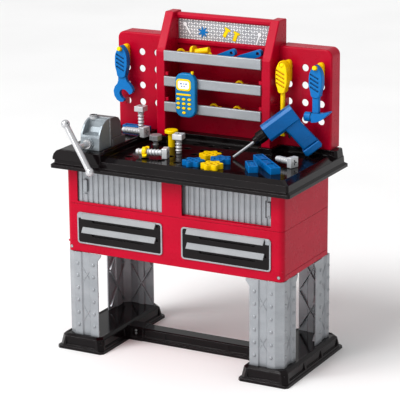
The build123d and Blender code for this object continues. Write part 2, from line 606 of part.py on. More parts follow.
scr = extrude(scr, 1.9, dir=(0, -1, 0))
cut = Plane(origin=(-78.9, PYF + 2.2, 730.4), x_dir=(1, 0, 0), z_dir=(0, -1, 0)) * RectangleRounded(35.5, 23, 6.5)
face_bits = [bez - extrude(cut, 6, dir=(0, -1, 0))]
barp = Plane(origin=(-78.8, PYF + 1.2, 703.2), x_dir=(1, 0, 0), z_dir=(0, -1, 0)) * RectangleRounded(45, 5.0, 2.4)
barp = extrude(barp, 2.0, dir=(0, -1, 0))
face_bits.append(barp)
keys = [(kx, kz) for kz in (690.3, 677.6, 665.0) for kx in (-95.6, -78.5, -61.2)] + [(-78.0, 652.3)]
for kx, kz in keys:
    k = Plane(origin=(kx, PYF + 1.2, kz), x_dir=(1, 0, 0), z_dir=(0, -1, 0)) * Ellipse(5.6, 3.7)
    k = extrude(k, 3.2, dir=(0, -1, 0))
    k = soft(k, k.faces().sort_by(Axis.Y)[0].edges(), 1.1)
    face_bits.append(k)
ant = cz(-55.5, 78.5, 745, 766, 2.7) + cz(-55.5, 78.5, 763, 768.5, 4.2)
ant = soft(ant, ant.faces().sort_by(Axis.Z)[-1].edges(), 1.5)
face_bits.append(ant)
for b_ in face_bits:
    ph = ph - b_
ph = ph - scr
put("phone_body", ph)
put("phone_face", Compound(children=[q for b_ in face_bits for q in b_.solids()]))
put("phone_screen", scr)

# ------------------------------------------------------------------- vise
vx0, vx1 = VISE_X0, VISE_X1
fj = px([(-148, 576), (-148, 590), (-146.5, 610), (-143, 620), (-137, 631), (-128, 642), (-117, 650), (-106, 654),
         (-91, 655.8), (-91, 576)], vx0, vx1)
fj -= px([(-160, 616), (-145, 616), (-119, 620), (-109, 632), (-106, 646), (-106, 665), (-160, 665)], vx0 + 5.5, vx1 - 5.5)
fj = soft(fj, [e for e in fj.edges().filter_by(Axis.Z) if e.center().Y < -147], 2)
fj += cy(VISE_AX, VISE_AZ, -151.5, -146, 15.5)
fj -= cy(VISE_AX, VISE_AZ, -160, -80, 9.3)
put("vise_moving_jaw", fj)
fplate = bx(vx0 - 1.2, vx1 + 1.2, -90.98, -87, 577, 657) - cy(VISE_AX, VISE_AZ, -95, -80, 10)
put("vise_front_plate", fplate)
knob = cz(-266, -98, 652, 663, 12.5)
knob = soft(knob, knob.faces().sort_by(Axis.Z)[-1].edges(), 1.5)
knob -= cz(-266, -98, 661.4, 665, 9.4)
knob -= fj
knob -= fplate
knob = max(knob.solids(), key=lambda q: q.volume)
put("vise_knob", knob)

rj = px([(-81, DECK_Z), (-81, 652), (-76, 654), (-58, 654), (-42, 648), (-33, 638), (-30, 628), (-26, 600), (-26, DECK_Z)], vx0 + 1, vx1 - 1)
rj += rbx(vx0 - 5, vx1 + 5, -84.5, -14, DECK_Z, 596, 5)
rj = soft(rj, [e for e in rj.edges().filter_by(Axis.X) if e.center().Z > 645], 2)
rj += bx(vx0 + 3, vx1 - 3, -84.9, -80.0, 590, 652)
rj -= cy(VISE_AX, VISE_AZ, -100, -30, 9.3)
rj -= plat
put("vise_fixed_jaw", rj)

ang = 30.3
ex, ez = -sin(radians(ang)), cos(radians(ang))
tb = Pos(VISE_AX, CRANK_Y, VISE_AZ) * Rot(0, -ang, 0) * Cylinder(8.6, 130)
for s in (-1, 1):
    ball = Sphere(12.0)
    ball = Pos(VISE_AX + s * 72.4 * ex, CRANK_Y, VISE_AZ + s * 72.4 * ez) * ball
    tb += ball
    tb -= Location(Plane(origin=(VISE_AX + s * 72.4 * ex, CRANK_Y, VISE_AZ + s * 72.4 * ez),
                         z_dir=(s * 0.85, -0.40, s * 0.38))) * Pos(0, 0, 11) * Cylinder(2.8, 9)
put("vise_tommy_bar", tb)
sp = cy(VISE_AX, VISE_AZ, CRANK_Y, -36, 8.8) + cy(VISE_AX, VISE_AZ, -160, -152.2, 12.5)
sp -= tb
sp = max(sp.solids(), key=lambda q: q.volume)
put("vise_spindle", sp)

# ------------------------------------------------------------------ drill
DL = atan2(DRILL_DIR[1], DRILL_DIR[0])
DRILL = Location(Plane(origin=DRILL_TIP,
                       x_dir=(cos(DL) * cos(radians(DRILL_TILT)), sin(DL) * cos(radians(DRILL_TILT)), sin(radians(DRILL_TILT))),
                       z_dir=(-cos(DL) * sin(radians(DRILL_TILT)), -sin(DL) * sin(radians(DRILL_TILT)), cos(radians(DRILL_TILT)))))


def hexbar(a0, a1, w, z0, z1, c):
    """Bar along the barrel axis with bevelled long edges; section in local Y-Z."""
    p = [(-w, z0 + c), (-w, z1 - c), (-w + c, z1), (w - c, z1), (w, z1 - c), (w, z0 + c), (w - c, z0), (-w + c, z0)]
    f = Plane(origin=(a0, 0, 0), x_dir=(0, 1, 0), z_dir=(1, 0, 0)) * flat(p)
    return extrude(f, a1 - a0, dir=(1, 0, 0))


barrel = hexbar(109, 206, 19, -25, 24.5, 8)
hpts = [(156, -20), (206, -20), (203.5, -30), (212, -98), (164, -98), (160, -45)]
hf = Plane(origin=(0, -15.5, 0), x_dir=(1, 0, 0), z_dir=(0, -1, 0)) * flat(hpts)
handle_ = extrude(hf, 31, dir=(0, 1, 0))
handle_ = soft(handle_, [e for e in handle_.edges() if abs(abs(e.center().Y) - 15.5) < 0.1 and e.center().Z < -22], 6)
ff = Plane(origin=(0, -17.5, 0), x_dir=(1, 0, 0), z_dir=(0, -1, 0)) * flat(
    [(160.5, -98), (212.5, -98), (214, -112), (210, -118), (163.5, -118.5), (159.5, -113)])
flange = extrude(ff, 35, dir=(0, 1, 0))
flange = soft(flange, [e for e in flange.edges() if abs(abs(e.center().Y) - 17.5) < 0.1], 4)
dbody = barrel + handle_ + flange
dbody -= Pos(135, 0, 0) * Rot(0, 90, 0) * Cylinder(9.4, 60)
trig_slot = bx(148, 166, -7.3, 7.3, -50, -28)
dbody -= trig_slot
put("drill_body", DRILL * dbody)
tp = [(151.0, -28.4), (160.8, -28.4), (160.8, -47.0), (154.5, -50), (151.5, -48), (155.2, -38)]
tf = Plane(origin=(0, -6.6, 0), x_dir=(1, 0, 0), z_dir=(0, -1, 0)) * flat(tp)
trig = extrude(tf, 13.2, dir=(0, 1, 0))
trig = soft(trig, [e for e in trig.edges() if abs(abs(e.center().Y) - 6.6) < 0.1], 1.2)
trig = trig - dbody
put("drill_trigger", DRILL * max(trig.solids(), key=lambda q: q.volume))


def turned(pts):
    """Solid of revolution about the barrel axis from (a, r) points."""
    f = flat([(pts[0][0], 0)] + pts + [(pts[-1][0], 0)])
    return revolve(f, Axis.X, 360)


chuck = turned([(70, 9), (72, 12.2), (83, 13.2), (84, 17), (96, 17.6), (106, 17.2), (108.4, 15), (108.41, 8.6), (150, 8.6)])
for k in range(8):
    a = radians(45 * k)
    chuck -= Pos(95, 19.2 * cos(a), 19.2 * sin(a)) * Rot(0, 90, 0) * Cylinder(3.2, 40)
chuck -= Pos(80, 0, 0) * Rot(0, 90, 0) * Cylinder(4.5, 44)
put("drill_chuck", DRILL * chuck)
bit = turned([(0.4, 2.6), (1.6, 4.0), (60, 4.0), (62, 4.49), (100, 4.49)])
put("drill_bit", DRILL * bit)


# -------------------------------------------------------------- fasteners
def bolt(length, head=BOLT_HEAD, hh=14.5, pitch=9.0):
    """Square-head bolt: head from 0 up to hh, coarse thread down to -length."""
    pts = [(0, 0), (BOLT_ROOT, 0)]
    z = 0.0
    while z - pitch > -length + 1:
        pts += [(BOLT_ROOT, z - pitch * 0.25), (BOLT_R, z - pitch * 0.5), (BOLT_R, z - pitch * 0.62), (BOLT_ROOT, z - pitch * 0.9)]
        z -= pitch
    pts += [(BOLT_ROOT, -length + 2), (BOLT_ROOT - 2, -length), (0, -length)]
    f = Plane.XZ * flat(pts)
    th = revolve(f, Axis.Z, 360)
    h = Pos(0, 0, hh / 2) * Box(head, head, hh)
    h = soft(h, h.edges().filter_by(Axis.Z), 2.0)
    h = soft(h, h.faces().sort_by(Axis.Z)[-1].edges(), 1.4)
    h -= Pos(0, 0, hh) * Box(15, 3.6, 6)
    h -= Pos(0, 0, hh) * Box(3.6, 15, 6)
    return h + th


def along(shape, origin, direction, roll=0):
    """Place a shape drawn along +Z so that +Z follows direction."""
    d = Vector(*direction).normalized()
    up = Vector(0, 0, 1)
    x = up.cross(d)
    if x.length < 1e-6:
        x = Vector(1, 0, 0)
    return Location(Plane(origin=origin, x_dir=x.normalized(), z_dir=d)) * Rot(0, 0, roll) * shape


wb_dir = (80, 19.5, 0)
ax_z = TRAY_Z + BOLT_HEAD / 2 + 0.3
wb = along(bolt(76), (-66, -72, ax_z), (0.972, 0.236, 0))
put("long_bolt", wb)
nut = Cylinder(13.5, 9) + Pos(0, 0, 4.0) * Cylinder(11.5, 6)
for s in (-1, 1):
    w = Pos(s * 15.0, 0, 3.5) * Box(13, 5.0, 12)
    w = soft(w, w.edges().filter_by(Axis.Y), 4.5)
    nut += w
nut -= Cylinder(BOLT_R + 0.35, 40)
nut = Pos(0, 0, -52) * nut
put("wing_nut", along(nut, (-66, -72, ax_z), (0.972, 0.236, 0), roll=26) - wb)

put("tall_bolt", Pos(-227.6, 92, DECK_Z + 62.3) * Rot(0, 0, 0) * bolt(62))
lb_z = DECK_Z + 4.0 + BOLT_R + 0.3
put("lying_bolt", along(bolt(72), (-199.5, 52, lb_z + 0.5), (0.988, -0.155, 0.045)))
sb = Pos(-57, 0, 596.5) * Rot(0, 0, 8) * bolt(46)
put("square_bolt", sb)
hexh = extrude(RegularPolygon(18.5, 8), 14)
gb = Pos(-157, 49.5, 572.5) * (soft(hexh, hexh.faces().sort_by(Axis.Z)[-1].edges(), 2) + (bolt(34) - Pos(0, 0, 21) * Box(60, 60, 41)))
gb = max(gb.solids(), key=lambda q: q.volume)
put("round_head_bolt", gb)
nail = cz(-107, 49.5, 597.5, 606.5, 19) + cz(-107, 49.5, 545, 598, 9.5)
nail = soft(nail, nail.faces().sort_by(Axis.Z)[-1].edges(), 3.5)
put("toy_nail", nail)
put("cross_bolt", along(bolt(52), (284, -6, ax_z), (0.95, -0.312, 0)))


# ------------------------------------------------------- gears and blocks
def flower(x, y, rot, r=26.0, a=4.4, z0=TRAY_Z + 0.0, h=14.0):
    pts = []
    for k in range(48):
        t = 2 * pi * k / 48
        rr = r + a * cos(6 * t)
        pts.append((rr * cos(t), rr * sin(t)))
    g = extrude(make_face(Spline(*pts, periodic=True)), h)
    g -= Cylinder(5.0, 60)
    for k in range(6):
        t = 2 * pi * k / 6
        g -= Pos(17 * cos(t), 17 * sin(t), 0) * Cylinder(3.0, 60)
    return Pos(x, y, z0) * Rot(0, 0, rot) * g


put("yellow_gears", Compound(children=[flower(50, -18, 26.6), flower(103, -110, 20)]))
put("blue_gears", Compound(children=[flower(97, -49, 56.6), flower(42, -100, 25)]))


def block(L, W, H, holes):
    b = Box(L, W, H)
    b = soft(b, b.edges().filter_by(Axis.Z), 3)
    b = soft(b, b.faces().sort_by(Axis.Z)[-1].edges(), 1.2)
    p = (L - 5) / holes
    for i in range(holes):
        q = Pos((i - (holes - 1) / 2) * p, 0, H / 2) * Box(p - 5, W - 10, 5)
        b -= soft(q, q.edges().filter_by(Axis.Z), 2)
    return b


put("short_block", Pos(205, -79, TRAY_Z + 9) * Rot(0, 0, -55) * block(62, 27, 18, 1))
put("long_block", Pos(229, -38, TRAY_Z + 9) * Rot(0, 0, -46) * block(152, 29, 18, 3))
put("blue_plank", Pos(-255, 115, DECK_Z + 6.5) * block(82, 24, 13, 2))


# ----------------------------------------------------- things in the bins
def wingnut(x, y, z, rot):
    """A wing nut standing on its rim in a bin."""
    n = Cylinder(12.8, 9)
    for s in (-1, 1):
        w = Pos(s * 16, 0, 0) * Box(12, 9, 5)
        n += w
    n -= Cylinder(8, 40)
    return Pos(x, y, z) * Rot(0, 0, rot) * Rot(90, 0, 0) * n


floor_z = [z0_ + 2.2 for z0_, _ in RAILS]
bits = [wingnut(-14, 125, floor_z[0] + 13, 20), wingnut(58, 125, floor_z[0] + 13, 15),
        wingnut(66, 125, floor_z[1] + 13, 10), wingnut(-116, 125, floor_z[2] + 15, 30),
        wingnut(-32, 128, floor_z[2] + 13, -20)]
nb = Cylinder(19, 7) + Pos(0, 0, 24) * Cylinder(9.5, 48)
nb = Pos(-76, 128, floor_z[2] + 19.5) * Rot(0, 78, 12) * nb
nb = Pos(0, 0, 0) * nb
bits.append(nb)
put("bin_fasteners", Compound(children=[q for b_ in bits for q in b_.solids()]))


def bar_handle(p, q, w=20, t=14):
    p, q = Vector(*p), Vector(*q)
    L = (q - p).length
    b = Box(L, t, w)
    b = soft(b, b.edges().filter_by(Axis.Y), w * 0.45)
    b -= Pos(L / 2 - 11, 0, 0) * Rot(90, 0, 0) * Cylinder(4.5, 40)
    m = (p + q) * 0.5
    a = degrees(atan2(q.Z - p.Z, q.X - p.X))
    return Pos(m.X, m.Y, m.Z) * Rot(0, -a, 0) * b


put("bin_handles", Compound(children=[bar_handle((0, 124, 803), (55, 124, 826)), bar_handle((54, 130, 801.5), (132, 130, 829))]))

# ------------------------------------------------------------------ write
lo = [1e9] * 3
hi = [-1e9] * 3
for name, shape in sorted(PARTS.items()):
    bb = shape.bounding_box()
    for i, (a, b_) in enumerate(zip((bb.min.X, bb.min.Y, bb.min.Z), (bb.max.X, bb.max.Y, bb.max.Z))):
        lo[i] = min(lo[i], a)
        hi[i] = max(hi[i], b_)
    export_step(shape, "parts/%s.step" % name)
print(len(PARTS), "nodes; box", [round(v, 2) for v in lo], [round(v, 2) for v in hi])
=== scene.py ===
import math
import random

import bmesh
import bpy
from mathutils import Matrix, Vector


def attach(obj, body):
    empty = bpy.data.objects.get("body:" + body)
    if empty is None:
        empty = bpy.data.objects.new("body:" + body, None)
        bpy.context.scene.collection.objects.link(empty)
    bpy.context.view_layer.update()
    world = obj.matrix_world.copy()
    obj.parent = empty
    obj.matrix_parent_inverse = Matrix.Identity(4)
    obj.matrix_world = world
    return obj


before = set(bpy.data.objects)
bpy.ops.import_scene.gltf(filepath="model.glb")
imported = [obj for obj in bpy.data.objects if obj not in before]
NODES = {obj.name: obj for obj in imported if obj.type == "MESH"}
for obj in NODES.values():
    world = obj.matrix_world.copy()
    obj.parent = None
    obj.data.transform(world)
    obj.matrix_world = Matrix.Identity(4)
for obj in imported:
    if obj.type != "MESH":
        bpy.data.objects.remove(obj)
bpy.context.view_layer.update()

random.seed(7)
Y = 0.008                       # the frame's Y against the drawing's Y


# ------------------------------------------------------------------ materials
class Graph:
    def __init__(self, name):
        self.m = bpy.data.materials.new(name)
        self.m.use_nodes = True
        self.t = self.m.node_tree
        for n in list(self.t.nodes):
            self.t.nodes.remove(n)
        self.out = self.t.nodes.new("ShaderNodeOutputMaterial")
        self.b = self.t.nodes.new("ShaderNodeBsdfPrincipled")
        self.link(self.b.outputs[0], self.out.inputs[0])
        self.co = self.t.nodes.new("ShaderNodeTexCoord").outputs["Object"]

    def link(self, a, b):
        self.t.links.new(a, b)

    def node(self, kind, **inputs):
        n = self.t.nodes.new(kind)
        for k, v in inputs.items():
            if hasattr(v, "is_output"):
                self.link(v, n.inputs[k])
            else:
                n.inputs[k].default_value = v
        return n

    def noise(self, scale, detail=3.0, rough=0.55, co=None):
        n = self.node("ShaderNodeTexNoise", Scale=scale, Detail=detail, Roughness=rough)
        self.link(co or self.co, n.inputs["Vector"])
        return n.outputs["Fac"]

    def stretch(self, sx, sy, sz):
        n = self.t.nodes.new("ShaderNodeMapping")
        n.inputs["Scale"].default_value = (sx, sy, sz)
        self.link(self.co, n.inputs["Vector"])
        return n.outputs[0]

    def remap(self, value, a, b, c, d):
        n = self.t.nodes.new("ShaderNodeMapRange")
        self.link(value, n.inputs["Value"])
        for k, v in zip(("From Min", "From Max", "To Min", "To Max"), (a, b, c, d)):
            n.inputs[k].default_value = v
        return n.outputs["Result"]

    def math(self, op, a, b=0.0, clamp=False):
        n = self.t.nodes.new("ShaderNodeMath")
        n.operation = op
        n.use_clamp = clamp
        for i, v in enumerate((a, b)):
            if hasattr(v, "is_output"):
                self.link(v, n.inputs[i])
            else:
                n.inputs[i].default_value = v
        return n.outputs[0]

    def mix(self, fac, a, b):
        n = self.t.nodes.new("ShaderNodeMix")
        n.data_type = "RGBA"
        for k, v in ((0, fac), (6, a), (7, b)):
            if hasattr(v, "is_output"):
                self.link(v, n.inputs[k])
            else:
                n.inputs[k].default_value = v if k == 0 else (*v, 1.0)
        return n.outputs[2]

    def sep(self, co=None):
        n = self.t.nodes.new("ShaderNodeSeparateXYZ")
        self.link(co or self.co, n.inputs[0])
        return n.outputs

    def bump(self, height, strength, distance, normal=None):
        n = self.t.nodes.new("ShaderNodeBump")
        n.inputs["Strength"].default_value = strength
        n.inputs["Distance"].default_value = distance
        self.link(height, n.inputs["Height"])
        if normal is not None:
            self.link(normal, n.inputs["Normal"])
        return n.outputs[0]

    def rounded(self, radius):
        n = self.t.nodes.new("ShaderNodeBevel")
        n.samples = 6
        n.inputs["Radius"].default_value = radius
        return n.outputs[0]

    def edges(self, radius, gain=2.5):
        """1 on convex and concave edges, 0 on the flats."""
        g = self.t.nodes.new("ShaderNodeNewGeometry")
        v = self.t.nodes.new("ShaderNodeVectorMath")
        v.operation = "DOT_PRODUCT"
        self.link(self.rounded(radius), v.inputs[0])
        self.link(g.outputs["Normal"], v.inputs[1])
        return self.math("MULTIPLY", self.math("SUBTRACT", 1.0, v.outputs["Value"]), gain, True)

    def groove_shade(self, distance):
        """0 on open faces, 1 at the bottom of grooves narrower than the distance; the mask for painted shade in
        grooves.
        """
        n = self.t.nodes.new("ShaderNodeAmbientOcclusion")
        n.samples = 6
        n.only_local = True
        n.inputs["Distance"].default_value = distance
        return self.remap(n.outputs["AO"], 0.35, 0.85, 1.0, 0.0)

    def set(self, **k):
        for a, v in k.items():
            s = self.b.inputs[a.replace("_", " ")]
            if hasattr(v, "is_output"):
                self.link(v, s)
            else:
                s.default_value = v


def plastic(name, light, dark, rough=(0.2, 0.32), coat=0.0, metal=0.0, grain=420.0, grain_depth=0.00006,
            edge_highlight=None, edge_radius=0.0014, bevel=0.0012, speck=None, spec=0.35,
            groove_shade=None, groove_shade_size=0.007):
    """Injection-moulded plastic: faint flow marks, orange peel, softened edges, painted highlight on the arrises broken
    up by noise, painted shade in grooves.
    """
    g = Graph(name)
    flow = g.noise(9.0, 4.0, 0.6, g.stretch(1.0, 1.0, 2.6))
    col = g.mix(g.remap(flow, 0.3, 0.7, 0.0, 1.0), dark, light)
    if speck is not None:
        fl = g.node("ShaderNodeTexVoronoi", Scale=900.0)
        g.link(g.co, fl.inputs["Vector"])
        sp = g.remap(fl.outputs["Distance"], 0.0, 0.45, 1.0, 0.0)
        col = g.mix(g.math("MULTIPLY", sp, 0.28), col, speck)
    if edge_highlight is not None:
        # painted highlight: arrises lightened towards the edge colour, broken up by noise
        painted_edge_highlight = g.math("MULTIPLY", g.edges(edge_radius), g.remap(g.noise(70.0, 4.0, 0.7), 0.35, 0.7, 0.15, 1.0), True)
        col = g.mix(g.math("MULTIPLY", painted_edge_highlight, 0.55), col, edge_highlight)
    if groove_shade is not None:
        # painted shade: grooves and recesses darkened towards the groove shade colour
        col = g.mix(g.math("MULTIPLY", g.groove_shade(groove_shade_size), 0.85), col, groove_shade)
    g.set(Base_Color=col)
    r = g.remap(g.noise(38.0, 5.0, 0.62), 0.3, 0.7, rough[0], rough[1])
    g.set(Roughness=r, Metallic=metal)
    g.set(Coat_Weight=coat, Coat_Roughness=0.06, Specular_IOR_Level=spec)
    h = g.noise(grain, 3.0, 0.6)
    n = g.bump(h, 0.55, grain_depth, g.rounded(bevel) if bevel else None)
    g.set(Normal=n)
    return g.m


# edge colours in these finishes are painted highlights on the arrises
RED = plastic("moulded red", (0.485, 0.0, 0.029), (0.425, 0.0, 0.024), (0.24, 0.36), spec=0.17,
              edge_highlight=(0.66, 0.03, 0.05), bevel=0.0018)
BLACK = plastic("moulded black", (0.0075, 0.0045, 0.0052), (0.0040, 0.0022, 0.0027), (0.08, 0.15), coat=0.0, spec=0.27,
                edge_highlight=(0.34, 0.31, 0.32), edge_radius=0.0011, bevel=0.0022, grain_depth=0.00003)
# groove shade colours here and below are painted shade in grooves and recesses
SILVER = plastic("silver plastic", (0.37, 0.385, 0.405), (0.30, 0.315, 0.335), (0.28, 0.40), metal=0.30, groove_shade=(0.085, 0.09, 0.10), groove_shade_size=0.006,
                 edge_highlight=(0.72, 0.72, 0.73), speck=(0.74, 0.75, 0.76), grain=700.0, bevel=0.0010)
LEG = plastic("leg silver", (0.37, 0.385, 0.405), (0.30, 0.315, 0.335), (0.28, 0.40), metal=0.30,
              edge_highlight=(0.72, 0.72, 0.73), speck=(0.74, 0.75, 0.76), grain=700.0, bevel=0.0010)
# painted shade: the pull silver is darker than the frame silver so the upward-facing pulls read less bright
PULL_SHADED = plastic("pull silver", (0.34, 0.35, 0.362), (0.28, 0.288, 0.30), (0.42, 0.52), metal=0.0, spec=0.2,
               edge_highlight=(0.66, 0.66, 0.67), speck=(0.6, 0.6, 0.61), grain=700.0, bevel=0.0010)
VISE = plastic("vise grey", (0.33, 0.365, 0.39), (0.26, 0.295, 0.32), (0.28, 0.40), metal=0.40,
               edge_highlight=(0.66, 0.67, 0.68), speck=(0.58, 0.60, 0.62), grain=600.0, bevel=0.0016)
JAW_PLATE = plastic("jaw plate", (0.46, 0.48, 0.50), (0.38, 0.40, 0.42), (0.24, 0.34), metal=0.40,
                    edge_highlight=(0.74, 0.75, 0.76), speck=(0.66, 0.68, 0.70), grain=600.0, bevel=0.0012)
VISE_DARK = plastic("vise dark grey", (0.175, 0.160, 0.165), (0.130, 0.118, 0.122), (0.30, 0.44), metal=0.2,
                    edge_highlight=(0.38, 0.36, 0.365), speck=(0.27, 0.25, 0.255), bevel=0.0016)
BRIGHT = plastic("bright silver", (0.62, 0.62, 0.635), (0.53, 0.535, 0.55), (0.16, 0.26), metal=0.55,
                 edge_highlight=(0.80, 0.80, 0.80), bevel=0.0012)
BOLT = plastic("bolt silver", (0.70, 0.71, 0.725), (0.59, 0.60, 0.615), (0.26, 0.38), metal=0.25,
               edge_highlight=(0.86, 0.86, 0.87), speck=(0.8, 0.8, 0.81), bevel=0.0009,
               groove_shade=(0.12, 0.125, 0.13), groove_shade_size=0.005)
BOLT_GREY = plastic("bolt grey", (0.40, 0.405, 0.42), (0.32, 0.325, 0.34), (0.30, 0.42), metal=0.3,
                    edge_highlight=(0.62, 0.62, 0.63), speck=(0.52, 0.52, 0.53), bevel=0.0010,
                    groove_shade=(0.08, 0.08, 0.085), groove_shade_size=0.005)
BLUE = plastic("moulded blue", (0.001, 0.195, 0.52), (0.001, 0.165, 0.45), (0.24, 0.36), spec=0.25,
               groove_shade=(0.0, 0.010, 0.05), groove_shade_size=0.009, edge_highlight=(0.06, 0.28, 0.62), bevel=0.0012)
DRILL = plastic("drill blue", (0.0005, 0.145, 0.41), (0.0005, 0.122, 0.35), (0.22, 0.34), spec=0.25,
                edge_highlight=(0.04, 0.22, 0.52), bevel=0.0020)
YELLOW = plastic("moulded yellow", (0.97, 0.70, 0.0), (0.92, 0.60, 0.0), (0.24, 0.36), spec=0.2,
                 groove_shade=(0.42, 0.13, 0.0), groove_shade_size=0.009, edge_highlight=(1.0, 0.74, 0.10), bevel=0.0012)
PHONE = plastic("phone blue", (0.0015, 0.215, 0.47), (0.001, 0.175, 0.40), (0.20, 0.30), spec=0.35,
                edge_highlight=(0.08, 0.35, 0.75), bevel=0.0012)
KEYS = plastic("phone silver", (0.60, 0.66, 0.70), (0.52, 0.58, 0.63), (0.2, 0.3), metal=0.25,
               edge_highlight=(0.85, 0.87, 0.88), bevel=0.0007)
PRINT_WHITE = plastic("white print", (0.86, 0.87, 0.88), (0.78, 0.79, 0.80), (0.3, 0.4),
                      edge_highlight=(0.92, 0.92, 0.92), bevel=None)
PRINT_INK = plastic("dark print", (0.075, 0.078, 0.085), (0.055, 0.058, 0.064), (0.3, 0.4), spec=0.2,
                    edge_highlight=(0.15, 0.15, 0.16), bevel=None)
STEEL = plastic("zinc screw", (0.50, 0.50, 0.51), (0.40, 0.40, 0.41), (0.22, 0.40), metal=0.9,
                edge_highlight=(0.75, 0.75, 0.75), bevel=0.0003, grain=1500.0)


def knob_mat():
    """Silver collar with a dark recessed top."""
    g = Graph("vise knob")
    x, y, z = g.sep()
    top = g.math("MULTIPLY", g.math("GREATER_THAN", z, 0.6608), g.math("LESS_THAN", z, 0.6622))
    g.set(Base_Color=g.mix(top, (0.46, 0.47, 0.485), (0.05, 0.045, 0.047)),
          Roughness=g.remap(g.noise(60.0, 4.0, 0.6), 0.3, 0.7, 0.22, 0.36), Metallic=0.35)
    g.set(Normal=g.bump(g.noise(600.0, 3.0, 0.6), 0.5, 0.00005, g.rounded(0.0010)))
    return g.m


def screen():
    g = Graph("printed screen")
    x, y, z = g.sep()
    # faint liquid-crystal rows
    rows = g.math("SINE", g.math("MULTIPLY", z, 6.2832 / 0.0022))
    cols = g.math("SINE", g.math("MULTIPLY", x, 6.2832 / 0.0022))
    grid = g.remap(g.math("ADD", rows, cols), -2.0, 2.0, 0.0, 1.0)
    col = g.mix(g.math("MULTIPLY", grid, 0.25), (0.82, 0.86, 0.90), (0.58, 0.66, 0.76))
    # plain blocks standing for the printed read-out
    for cx_, cz_, w_, h_ in ((-0.0865, 0.7335, 0.0045, 0.0035), (-0.0775, 0.7335, 0.0022, 0.0035), (-0.0705, 0.7335, 0.0040, 0.0035),
                             (-0.0845, 0.7262, 0.0035, 0.0026), (-0.0765, 0.7262, 0.0035, 0.0026)):
        dx = g.math("LESS_THAN", g.math("ABSOLUTE", g.math("SUBTRACT", x, cx_)), w_ / 2)
        dz = g.math("LESS_THAN", g.math("ABSOLUTE", g.math("SUBTRACT", z, cz_)), h_ / 2)
        col = g.mix(g.math("MULTIPLY", dx, dz), col, (0.03, 0.08, 0.30))
    g.set(Base_Color=col, Roughness=0.16, Coat_Weight=0.15, Coat_Roughness=0.05)
    return g.m


def tread_plate():
    """Printed diamond plate: two families of short raised bars at right angles."""
    g = Graph("printed tread plate")
    x, y, z = g.sep()
    pitch = 0.0125
    u = g.math("MULTIPLY", g.math("ADD", x, z), 0.7071)
    v = g.math("MULTIPLY", g.math("SUBTRACT", x, z), 0.7071)
    heights = []
    for a, b, off in ((u, v, 0.0), (v, u, 0.5)):
        # bars run along a, stacked along b
        ca = g.math("SUBTRACT", g.math("FRACT", g.math("ADD", g.math("DIVIDE", a, pitch), off)), 0.5)
        cb = g.math("SUBTRACT", g.math("FRACT", g.math("ADD", g.math("DIVIDE", b, pitch), off)), 0.5)
        da = g.math("POWER", g.math("ABSOLUTE", g.math("DIVIDE", ca, 0.47)), 2.0)
        db = g.math("POWER", g.math("ABSOLUTE", g.math("DIVIDE", cb, 0.155)), 2.0)
        heights.append(g.math("SUBTRACT", 1.0, g.math("ADD", da, db), True))
    h = g.math("MAXIMUM", heights[0], heights[1])
    core = g.remap(h, 0.22, 0.50, 0.0, 1.0)
    rim = g.remap(h, 0.0, 0.06, 0.0, 1.0)
    plate = g.mix(g.remap(g.noise(30.0, 4.0, 0.6), 0.3, 0.7, 0.0, 1.0), (0.30, 0.31, 0.33), (0.42, 0.43, 0.45))
    col = g.mix(rim, plate, (0.09, 0.095, 0.105))
    col = g.mix(core, col, (0.86, 0.87, 0.88))
    g.set(Base_Color=col, Metallic=0.1, Specular_IOR_Level=0.3)
    g.set(Roughness=g.remap(g.noise(90.0, 3.0, 0.6), 0.3, 0.7, 0.24, 0.38))
    g.set(Normal=g.bump(h, 0.4, 0.0004))
    return g.m


SCREEN, PLATE, KNOB = screen(), tread_plate(), knob_mat()

FINISH = {
    RED: "lower_cabinet upper_cabinet backboard_left backboard_right toolbox_frame toolbox_handle_bar shelf_trays door_tracks",
    BLACK: "left_foot_rail right_foot_rail foot_crossbar worktop vise_platform left_drawer_box right_drawer_box drill_chuck drill_trigger",
    LEG: "leg_front_left leg_front_right leg_rear_left leg_rear_right",
    SILVER: "left_door right_door left_drawer_frame right_drawer_frame shelf_rails",
    PULL_SHADED: "left_drawer_pulls right_drawer_pulls",
    VISE: "vise_moving_jaw",
    JAW_PLATE: "vise_front_plate",
    VISE_DARK: "vise_fixed_jaw",
    KNOB: "vise_knob",
    BRIGHT: "vise_spindle vise_tommy_bar",
    BOLT: "long_bolt square_bolt tall_bolt lying_bolt cross_bolt",
    BOLT_GREY: "round_head_bolt drill_bit",
    BLUE: "toy_wrench toy_hammer blue_gears blue_plank short_block long_block bin_handles",
    DRILL: "drill_body",
    YELLOW: "tool_hooks toy_screwdriver toy_nail wing_nut yellow_gears bin_fasteners phone_face",
    PHONE: "phone_body",

    SCREEN: "phone_screen",
    PLATE: "tread_plate_label",
    STEEL: "frame_screws",
}
for material, names in FINISH.items():
    for n in names.split():
        o = NODES[n]
        if not o.material_slots:
            o.data.materials.append(material)
        for s in o.material_slots:
            s.material = material


# ------------------------------------------------------------ mesh utilities
def new_piece(name, bm, material, body, smooth=True):
    me = bpy.data.meshes.new(name)
    bmesh.ops.recalc_face_normals(bm, faces=bm.faces)
    bm.to_mesh(me)
    bm.free()
    if smooth:
        for p in me.polygons:
            p.use_smooth = True
    o = bpy.data.objects.new(name, me)
    bpy.context.scene.collection.objects.link(o)
    me.materials.append(material)
    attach(o, body)
    return o


def slab(bm, pts, y0, y1):
    """Closed prism from an outline in X-Z between two Y planes."""
    a = [bm.verts.new((x, y0, z)) for x, z in pts]
    b = [bm.verts.new((x, y1, z)) for x, z in pts]
    n = len(pts)
    bm.faces.new(a)
    bm.faces.new(list(reversed(b)))
    for i in range(n):
        j = (i + 1) % n
        bm.faces.new((a[j], a[i], b[i], b[j]))


